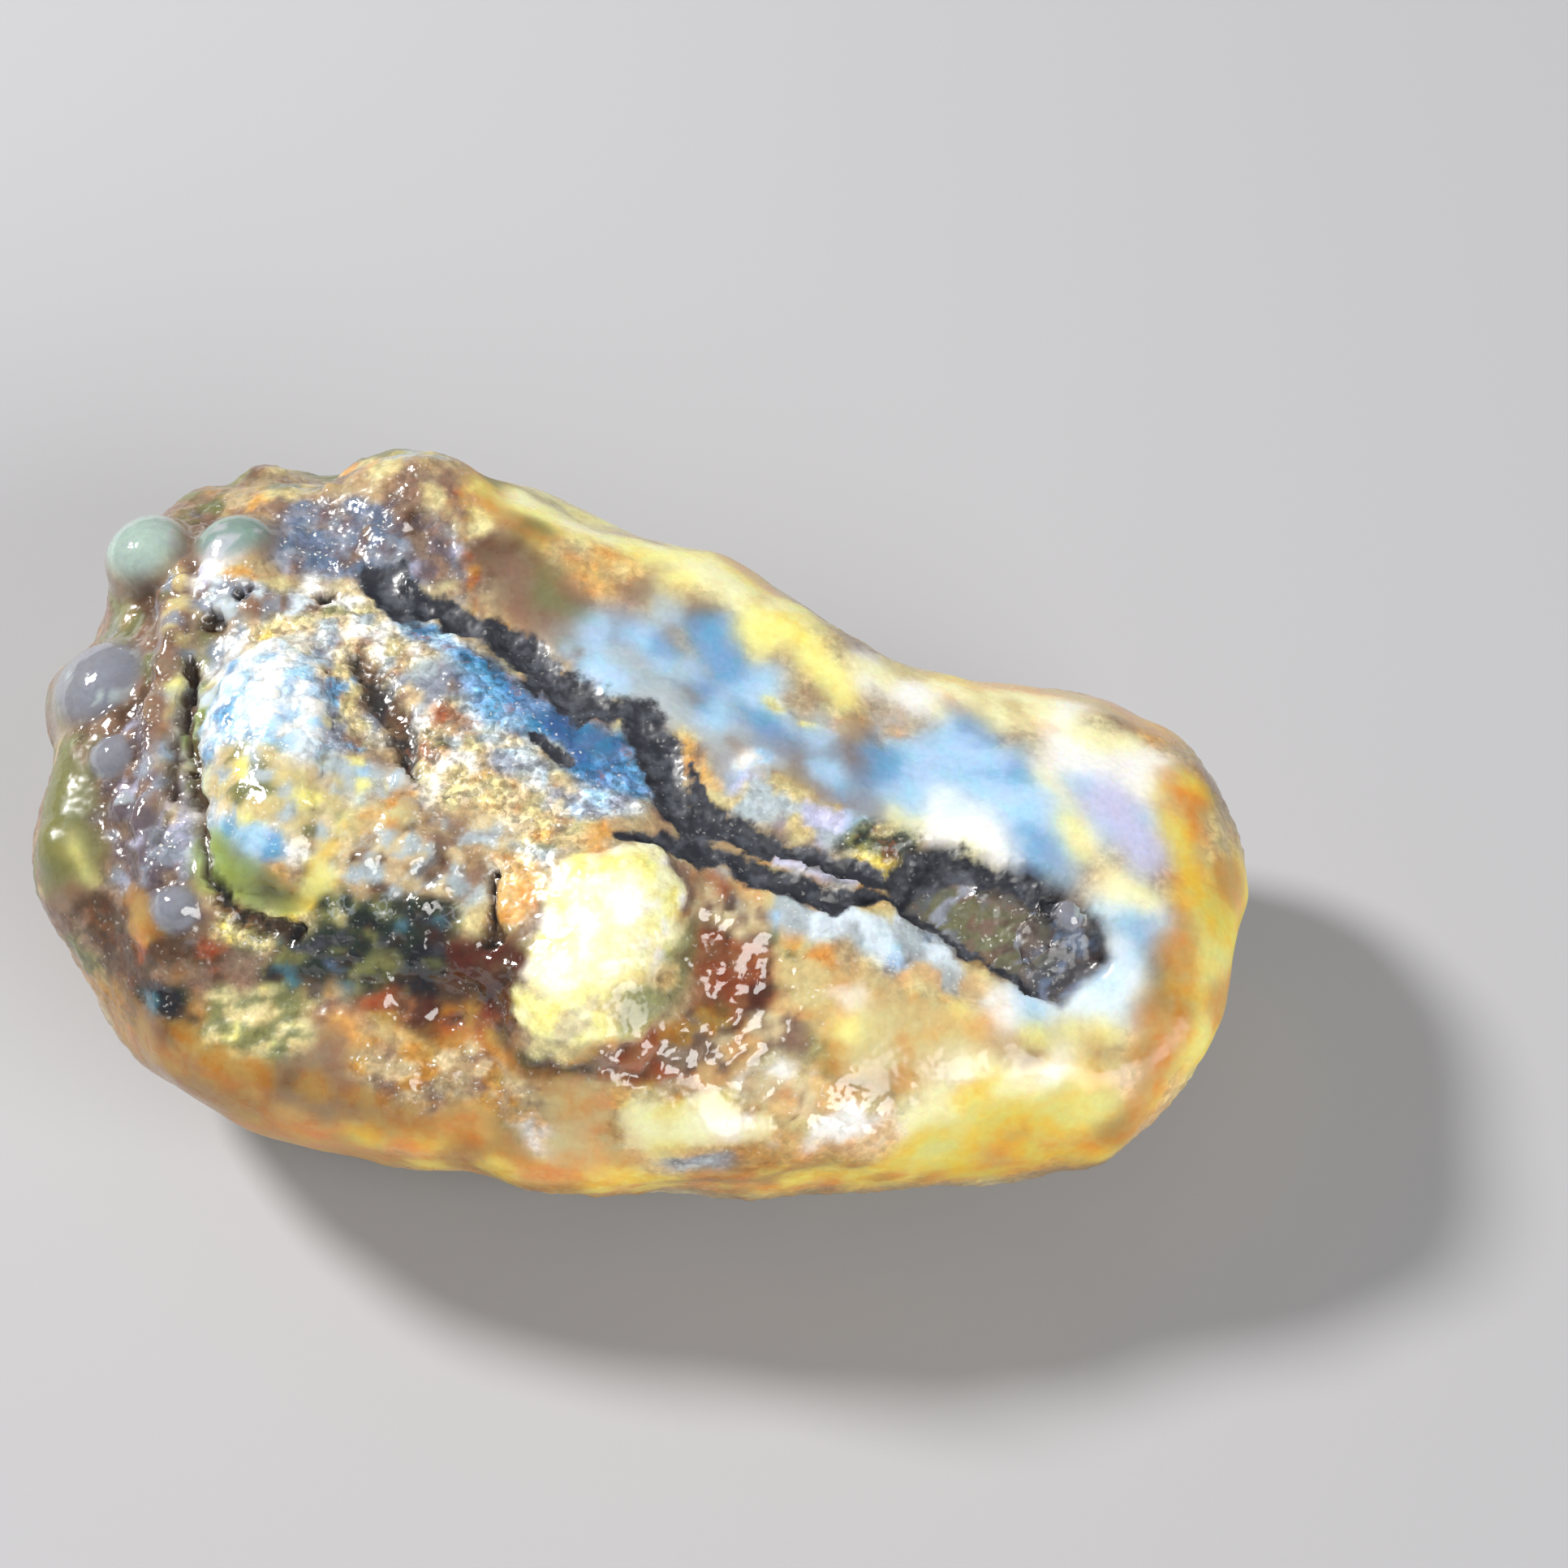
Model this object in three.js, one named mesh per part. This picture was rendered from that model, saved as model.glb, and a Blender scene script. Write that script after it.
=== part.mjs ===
// A rough amber nodule: one natural lump with a wide, knobbly end on the left (-X) and a narrow glassy tip on
// the right (+X). A charred seam runs along its top, and it rests on a small worn flat underneath.
// Millimetres, +Z up, the origin under the middle of the lump at the height of the worn flat.
import * as THREE from 'three';
import { ImprovedNoise } from 'three/addons/math/ImprovedNoise.js';
import { mergeVertices } from 'three/addons/utils/BufferGeometryUtils.js';

// Driving dimensions of the body, before its faces are broken off and its knobs are added
const LENGTH = 26;
const WIDTH = 17.4;
const CREST = 9.2;
const SKIN_CELL = 0.62;

// How round the body is: 2 is an ellipse, and a larger number is boxier
const SECTION_ROUNDNESS = 2.3;
const END_BLUNTNESS = 7;

// The body stops short of the left end, where the knobs stand out
const LEFT_END = -0.485 * LENGTH;
const RIGHT_END = 0.5 * LENGTH;

// Edges of the body, as [place along half the length, offset]. Seen from above the offset is a fraction of
// half the width, and seen from the side it is a fraction of the crest height.
const BACK_EDGE = [[-1, 0.65], [-0.5, 0.95], [0, 0.7], [0.5, 0.35], [1, 0.3]];
const FRONT_EDGE = [[-1, -0.75], [-0.5, -0.95], [0, -1.05], [0.5, -1], [1, -1]];
const TOP_EDGE = [[-1, 0.95], [-0.5, 1], [0, 0.95], [0.5, 0.8], [1, 0.7]];
const UNDERSIDE = [[-1, 0.1], [-0.5, 0], [0, -0.02], [0.5, 0], [1, 0.1]];

// The long axis, around which places on the skin are given as [x, lean]: the lean is in degrees from straight
// up, positive toward the front (-Y)
const AXIS_LEFT = new THREE.Vector3(-LENGTH / 2, 0.6, 4.6);
const AXIS_RIGHT = new THREE.Vector3(LENGTH / 2, -3, 3.4);

// Broken faces: the way each one faces, and how far along that way it lies from the middle of the axis
const BROKEN_FACES = [
  { facing: [0.9, -0.35, -0.25], reach: 12 },
  { facing: [0.9, 0.3, 0.2], reach: 12 },
  { facing: [-0.9, -0.4, -0.3], reach: 12 },
];
const BROKEN_EDGE_BLEND = 0.8;

// Glassy knobs: the place on the skin, the three half sizes, and how deep the middle is sunk
const KNOBS = [
  // glassy knobs on top of the wide end, and the one behind them
  { at: [-10.5, -45], size: [1, 1.2, 1.2], sunk: 0.1 },
  { at: [-8.5, -35], size: [1.2, 1.2, 1.1], sunk: 0.6 },
  { at: [-9.5, -60], size: [1, 1, 1], sunk: 0.6 },
  // knobs down the end, and the olive flank below them
  { at: [-11.5, 0], size: [1.1, 1.2, 1.2], sunk: 0.5 },
  { at: [-11, 30], size: [0.9, 1.1, 0.9], sunk: 0.5 },
  { at: [-11.5, 60], size: [1.2, 1.9, 1.6], sunk: 1 },
  // round lobes along the back
  { at: [-8, -55], size: [1.1, 1.1, 1.1], sunk: 1 },
  { at: [-5, -55], size: [1.6, 1.3, 1.3], sunk: 0.5 },
];
const KNOB_BLEND = 0.7;

// Swellings (positive height) and hollows (negative), each a soft band of the given reach along a path
const SWELLINGS = [
  // dome, the rib to its left and the crease between them
  { height: 0.55, reach: 2, path: [[-7.5, 15], [-7, 35]] },
  { height: 0.3, reach: 0.8, path: [[-10, -10], [-10, 40], [-9.5, 65]] },
  { height: -0.4, reach: 0.7, path: [[-9, 0], [-9, 40], [-7, 55]] },
  // slot to the dome's right
  { height: -0.3, reach: 0.7, path: [[-6, -5], [-4.5, 25]] },
  // cream knob in the middle of the front, and the wet hollow to its right
  { height: 0.6, reach: 1.6, path: [[-0.5, 40], [-1, 60]] },
  { height: -0.4, reach: 1.1, path: [[1.5, 50], [2.5, 65]] },
  // charred seam and its lower branch
  { height: -0.35, reach: 0.8, path: [[-6.5, -25], [-4, -25], [-1.5, -10], [1, 20], [4.5, 30]] },
  { height: -0.25, reach: 0.7, path: [[1, 30], [4, 40], [9.5, 60]] },
  // pit at the seam's right end
  { height: -0.6, reach: 1, path: [[5.5, 30], [9, 50]] },
  // crevice under the dome
  { height: -0.55, reach: 0.9, path: [[-8.5, 65], [-3.5, 65]] },
  // back ridge with its knuckle, and the trough between it and the seam
  { height: 0.35, reach: 1.2, path: [[-3.5, -50], [4, -45]] },
  { height: 0.3, reach: 1, path: [[1.5, -65]] },
  { height: -0.3, reach: 1.8, path: [[-1, -30], [6, -20]] },
  // notch between the two lobes along the back
  { height: -0.45, reach: 0.8, path: [[-7, -60], [-7, -75]] },
  // smooth belly along the front foot
  { height: 0.2, reach: 1.5, path: [[-9, 85], [-3, 85]] },
  { height: 0.35, reach: 1.3, path: [[-2, 90]] },
  { height: 0.25, reach: 1.2, path: [[1, 80], [4, 80]] },
  { height: 0.2, reach: 1.2, path: [[11.5, 70]] },
];

// Natural unevenness
const LUMPS = [{ height: 0.16, size: 3.3 }, { height: 0.1, size: 1.5 }];

// The rays that look for the surface start this far to either side of the middle
const ANCHOR_REACH = 0.35 * LENGTH;
const SURFACE_SEARCH_STEPS = 30;
const noise = new ImprovedNoise();

function splineThrough(points, offsetScale) {
  const places = points.map(([along]) => along * LENGTH / 2);
  const offsets = points.map(([, offset]) => offset * offsetScale);
  const curve = new THREE.CubicInterpolant(places, offsets, 1, new Float64Array(1));
  return (x) => curve.evaluate(x)[0];
}

const backEdge = splineThrough(BACK_EDGE, WIDTH / 2);
const frontEdge = splineThrough(FRONT_EDGE, WIDTH / 2);
const topEdge = splineThrough(TOP_EDGE, CREST);
const underside = splineThrough(UNDERSIDE, CREST);

function endRounding(x) {
  const middle = (LEFT_END + RIGHT_END) / 2;
  const along = Math.abs(x - middle) / (RIGHT_END - middle);
  return Math.sqrt(Math.max(0, 1 - along ** END_BLUNTNESS));
}

function sectionAt(x) {
  const inside = THREE.MathUtils.clamp(x, LEFT_END, RIGHT_END);
  const rounding = Math.max(0.02, endRounding(inside));
  return {
    middleY: (backEdge(inside) + frontEdge(inside)) / 2,
    middleZ: (topEdge(inside) + underside(inside)) / 2,
    halfWidth: rounding * (backEdge(inside) - frontEdge(inside)) / 2,
    halfHeight: rounding * (topEdge(inside) - underside(inside)) / 2,
  };
}

function smoothUnion(first, second, blend) {
  const overlap = Math.max(0, blend - Math.abs(first - second)) / blend;
  return Math.min(first, second) - overlap * overlap * blend / 4;
}

function roundedBodyDistance(point) {
  const section = sectionAt(point.x);
  const across = Math.abs(point.y - section.middleY) / section.halfWidth;
  const up = Math.abs(point.z - section.middleZ) / section.halfHeight;
  const reach = (across ** SECTION_ROUNDNESS + up ** SECTION_ROUNDNESS) ** (1 / SECTION_ROUNDNESS);
  const pastEnd = Math.max(0, LEFT_END - point.x, point.x - RIGHT_END);
  return (reach - 1) * Math.min(section.halfWidth, section.halfHeight) + pastEnd;
}

const axisMiddle = AXIS_LEFT.clone().lerp(AXIS_RIGHT, 0.5);
const brokenFaces = BROKEN_FACES.map(({ facing, reach }) => {
  const normal = new THREE.Vector3(...facing).normalize();
  return new THREE.Plane(normal, -reach - normal.dot(axisMiddle));
});

function bodyDistance(point) {
  let distance = roundedBodyDistance(point);
  for (const face of brokenFaces) {
    distance = -smoothUnion(-distance, -face.distanceToPoint(point), BROKEN_EDGE_BLEND);
  }
  return distance;
}

// Where a ray from inside the lump leaves it, for a field that is negative inside
function exitPoint(start, direction, field) {
  let near = 0;
  let far = LENGTH;
  const point = new THREE.Vector3();
  for (let step = 0; step < SURFACE_SEARCH_STEPS; step += 1) {
    const middle = (near + far) / 2;
    point.copy(start).addScaledVector(direction, middle);
    if (field(point) > 0) {
      far = middle;
    } else {
      near = middle;
    }
  }
  return point;
}

function skinPoint(x, lean, sunk = 0) {
  const start = AXIS_LEFT.clone().lerp(AXIS_RIGHT, x / LENGTH + 0.5);
  const angle = THREE.MathUtils.degToRad(lean);
  const direction = new THREE.Vector3(0, -Math.sin(angle), Math.cos(angle));
  start.x = THREE.MathUtils.clamp(x, LEFT_END + sunk, RIGHT_END - sunk);
  return exitPoint(start, direction, bodyDistance).addScaledVector(direction, -sunk);
}

const knobs = KNOBS.map(({ at, size, sunk }) => ({
  middle: skinPoint(at[0], at[1], sunk),
  size: new THREE.Vector3(...size),
}));

const swellings = SWELLINGS.map(({ height, reach, path }) => {
  const points = path.map(([x, lean]) => skinPoint(x, lean));
  const stretches = points.slice(1).map((end, index) => new THREE.Line3(points[index], end));
  return { height, reach, stretches: stretches.length ? stretches : [new THREE.Line3(points[0], points[0])] };
});

function knobDistance(point, { middle, size }) {
  const reach = point.clone().sub(middle).divide(size).length();
  return (reach - 1) * Math.min(size.x, size.y, size.z);
}

function swellingAt(point, { height, reach, stretches }) {
  const nearest = new THREE.Vector3();
  const distances = stretches.map((stretch) => {
    stretch.closestPointToPoint(point, true, nearest);
    return nearest.distanceTo(point);
  });
  return height * Math.exp(-((Math.min(...distances) / reach) ** 2));
}

function lumpsAt(point) {
  let total = 0;
  for (const { height, size } of LUMPS) {
    total += height * noise.noise(point.x / size, point.y / size, point.z / size);
  }
  return total;
}

function stoneDistance(point) {
  let distance = bodyDistance(point) - lumpsAt(point);
  for (const swelling of swellings) {
    distance -= swellingAt(point, swelling);
  }
  for (const knob of knobs) {
    distance = smoothUnion(distance, knobDistance(point, knob), KNOB_BLEND);
  }
  return distance;
}

// The lump's surface beyond a corner of the box, given from -1 to 1 each way, flattened where it rests
function surfacePoint(corner) {
  const anchorX = corner.x * ANCHOR_REACH;
  const section = sectionAt(anchorX);
  const anchor = new THREE.Vector3(anchorX, section.middleY, section.middleZ);
  const spread = new THREE.Vector3(LENGTH / 2 - ANCHOR_REACH, WIDTH / 2, CREST / 2);
  const aim = corner.clone().multiply(spread).normalize();
  const point = exitPoint(anchor, aim, stoneDistance);
  point.z = Math.max(0, point.z);
  return point;
}

// A box of small cells, every corner of which is moved onto the lump's surface
function stoneGeometry() {
  const cells = [LENGTH, WIDTH, CREST].map((side) => Math.round(side / SKIN_CELL));
  const geometry = new THREE.BoxGeometry(2, 2, 2, ...cells);
  const position = geometry.getAttribute('position');
  const corner = new THREE.Vector3();
  for (let index = 0; index < position.count; index += 1) {
    corner.fromBufferAttribute(position, index);
    const point = surfacePoint(corner);
    position.setXYZ(index, point.x, point.y, point.z);
  }
  geometry.deleteAttribute('uv');
  geometry.deleteAttribute('normal');
  const skin = mergeVertices(geometry);
  skin.computeVertexNormals();
  skin.computeBoundingBox();
  const middle = skin.boundingBox.getCenter(new THREE.Vector3());
  skin.translate(-middle.x, -middle.y, 0);
  return skin;
}

const amberMaterial = new THREE.MeshStandardMaterial({ color: 0xc9a45c, roughness: 0.3, metalness: 0 });

const specimen = new THREE.Group();
const amber = new THREE.Mesh(stoneGeometry(), amberMaterial);
amber.name = 'amber';
specimen.add(amber);

export default specimen;
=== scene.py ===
"""A rough amber specimen: one natural lump with a mineral crust, a charred seam and a clear honey tip.

The stone is the CAD solid, remeshed fine, with its relief moved into the mesh and its crust painted on the
vertices. A place on it is written (x, lean): millimetres along the stone, and degrees round its long axis
from straight up, towards the front.
"""

import math
import random
from functools import reduce

import bmesh
import bpy
import numpy as np
from mathutils import Matrix, Vector, noise
from mathutils.bvhtree import BVHTree


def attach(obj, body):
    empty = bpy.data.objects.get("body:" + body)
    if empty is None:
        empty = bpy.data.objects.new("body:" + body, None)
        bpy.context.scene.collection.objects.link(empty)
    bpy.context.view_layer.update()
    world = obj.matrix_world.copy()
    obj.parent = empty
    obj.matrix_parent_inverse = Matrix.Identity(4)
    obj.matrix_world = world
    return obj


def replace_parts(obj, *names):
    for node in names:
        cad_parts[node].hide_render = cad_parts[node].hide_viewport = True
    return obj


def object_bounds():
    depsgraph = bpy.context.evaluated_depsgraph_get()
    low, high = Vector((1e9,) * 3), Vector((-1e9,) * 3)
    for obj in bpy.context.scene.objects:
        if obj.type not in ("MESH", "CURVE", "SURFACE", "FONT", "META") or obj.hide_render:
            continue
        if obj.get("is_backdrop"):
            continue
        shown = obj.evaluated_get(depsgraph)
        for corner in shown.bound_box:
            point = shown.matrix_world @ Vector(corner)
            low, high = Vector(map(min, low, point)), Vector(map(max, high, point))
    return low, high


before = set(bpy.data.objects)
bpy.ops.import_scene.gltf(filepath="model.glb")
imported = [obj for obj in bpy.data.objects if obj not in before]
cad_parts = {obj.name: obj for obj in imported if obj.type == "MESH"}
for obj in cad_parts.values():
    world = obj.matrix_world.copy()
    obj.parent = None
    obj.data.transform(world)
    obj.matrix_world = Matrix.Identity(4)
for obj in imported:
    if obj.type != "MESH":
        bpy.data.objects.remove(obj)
CAD_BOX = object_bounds()

MM = 0.001           # metres in a millimetre
VOXEL = 0.123        # mm, cell of the fine stone mesh
WELD = 0.001         # mm, corners of the solid nearer than this become one
FAR = 99.0           # stands for "nowhere near"
TINY = 1e-9          # keeps a leg of no length from being divided by
NORMAL_REACH = 0.7   # mm, the outward way at a place is averaged over this
TRAIL_STEP = 0.3     # mm, between the points of a path on the skin
STONE_RADIUS = 6.0   # mm, roughly: turns degrees of lean into a length along a path
STREWN_RADIUS = 5.0  # mm, the same where beads are strewn

# Noise
SEED_STEP = 17.3      # moves each noise to its own place
WOBBLE_SEED = 4       # noise_vector starts from the clock unless it is given a seed
PICK_WAY = (12.99, 78.23, 37.72)
PICK_SCALE = 43758.5  # with PICK_WAY, makes a cell's random pick from its middle

# The long axis that leans are measured round, in mm: y and z at the two ends
AXIS_X = (-13.0, 13.0)
AXIS_Y = (1.3, -2.3)
AXIS_Z = (4.6, 3.4)

# The view
LENS = 100.0                   # mm
SENSOR = 36.0                  # mm
VIEW_DISTANCE = 92.5 * MM
VIEW_ELEVATION = math.radians(55.0)
VIEW_OFFSET = (2.8, 0.5, 0.3)  # mm, from the box centre to what the camera looks at

# Floor, lights and sky
FLOOR_SIDE = 1.2  # m
FLOOR_COLOUR = (0.45, 0.45, 0.47, 1)
FLOOR_ROUGHNESS = 0.8
FLOOR_GLOSS = 0.1
KEY_WAY = (-0.67, 0.33, 0.67)
FILL_WAY = (0.6, -0.65, 0.45)
LIGHT_COLOUR = (1.0, 0.98, 0.95)
SKY_COLOUR = (0.92, 0.96, 1.0, 1)
SKY_STRENGTH = 0.2

# The amber
AMBER_IOR = 1.54
COAT_ROUGHNESS = 0.05
GLOW_RADIUS = (1.0, 0.65, 0.3)     # how far red, green and blue light spreads under the skin...
GLOW_DEPTH = 1.2                   # ...as shares of this, in mm
BODY_COLOUR = (1.0, 0.74, 0.2, 1)  # what the clear amber leaves of white light
BODY_DENSITY = 100.0               # per metre

# Grain too fine for the mesh, in mm
RING_SIZE = 0.3
GRIT_SIZE = 0.15
# cell size of the painted glints
GLINT_SIZE = 0.11
ROLLING_HEIGHT = 0.12
GRIT_DEPTH = 0.05

# Relief, in mm: what stands out of the skin and what is sunk into it
COLUMN_RISE = 0.2
CREAM_RISE = 0.36
DOME_RISE = 0.3
SLIVER_RISE = 0.12
CREASE_DEPTH = 0.3
SEAM_DEPTH = 0.2
CREVICE_DEPTH = 0.28
PIT_DEPTH = 0.42
PEBBLE_RISE = 0.09
GRAIN_RISE = 0.075
CURL_RISE = 0.09
FULL_SEAM = 0.4     # a charred band with this half-width has the full depth
FOOT = (0.05, 0.9)  # the relief fades in between these heights

# Sizes of the cells that give the crust its patches, in mm
COARSE = 1.1
MIDDLING = 0.6
FINE = 0.33

# Colours of the stone, as sRGB 0 to 255
PALETTE = {
    "char": (44, 46, 54), "ash": (78, 81, 90), "moss": (52, 64, 56), "umber": (104, 78, 58),
    "dark_rust": (98, 56, 40), "rust": (166, 98, 54), "clay": (150, 124, 104), "plum": (116, 104, 112),
    "tan": (188, 164, 124), "sand": (218, 200, 160), "straw": (214, 200, 146), "olive": (132, 134, 88),
    "fern": (156, 174, 100), "honey": (218, 166, 80), "orange": (238, 166, 66), "gold": (252, 224, 84),
    "lemon": (246, 240, 150), "cream": (252, 248, 200), "peach": (224, 184, 126), "copal": (188, 142, 56),
    "white": (252, 251, 246), "ice": (222, 236, 246), "mist": (184, 196, 202), "smoke": (150, 156, 170),
    "lilac": (204, 206, 234), "slate": (104, 124, 152), "pale_sky": (178, 214, 242), "sky": (118, 168, 210),
    "blue": (70, 128, 174), "deep_blue": (44, 104, 158),
    "teal": (176, 202, 198), "sea": (138, 172, 166), "deep_teal": (78, 122, 134),
}

# How each look behaves: roughness, glow (light let in under the skin), clearness, grain, glitter, wetness,
# and pale outlines round its cells
LOOKS = {
    "crust": (0.36, 0.20, 0.00, 0.40, 0.25, 0.35, 0.0),
    "granular": (0.34, 0.20, 0.00, 1.00, 0.60, 0.30, 0.0),
    "sparkly": (0.26, 0.25, 0.00, 0.45, 1.00, 0.50, 0.0),
    "glassy": (0.16, 0.40, 0.00, 0.15, 0.55, 0.90, 0.0),
    "celled": (0.20, 0.30, 0.00, 0.30, 0.50, 0.80, 1.0),
    "waxy": (0.28, 0.70, 0.00, 0.05, 0.00, 0.25, 0.0),
    "wet": (0.14, 0.40, 0.00, 0.15, 0.30, 1.00, 0.0),
    "clear": (0.40, 0.85, 0.18, 0.00, 0.00, 0.00, 0.0),
    "knob": (0.10, 0.45, 0.12, 0.10, 0.30, 1.00, 0.0),
    "frosted": (0.24, 0.30, 0.00, 0.55, 0.90, 0.40, 0.0),
    "creamy": (0.30, 0.50, 0.00, 0.25, 0.25, 0.40, 0.0),
    "sooty": (0.40, 0.10, 0.00, 0.30, 0.45, 0.20, 0.0),
}

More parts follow.
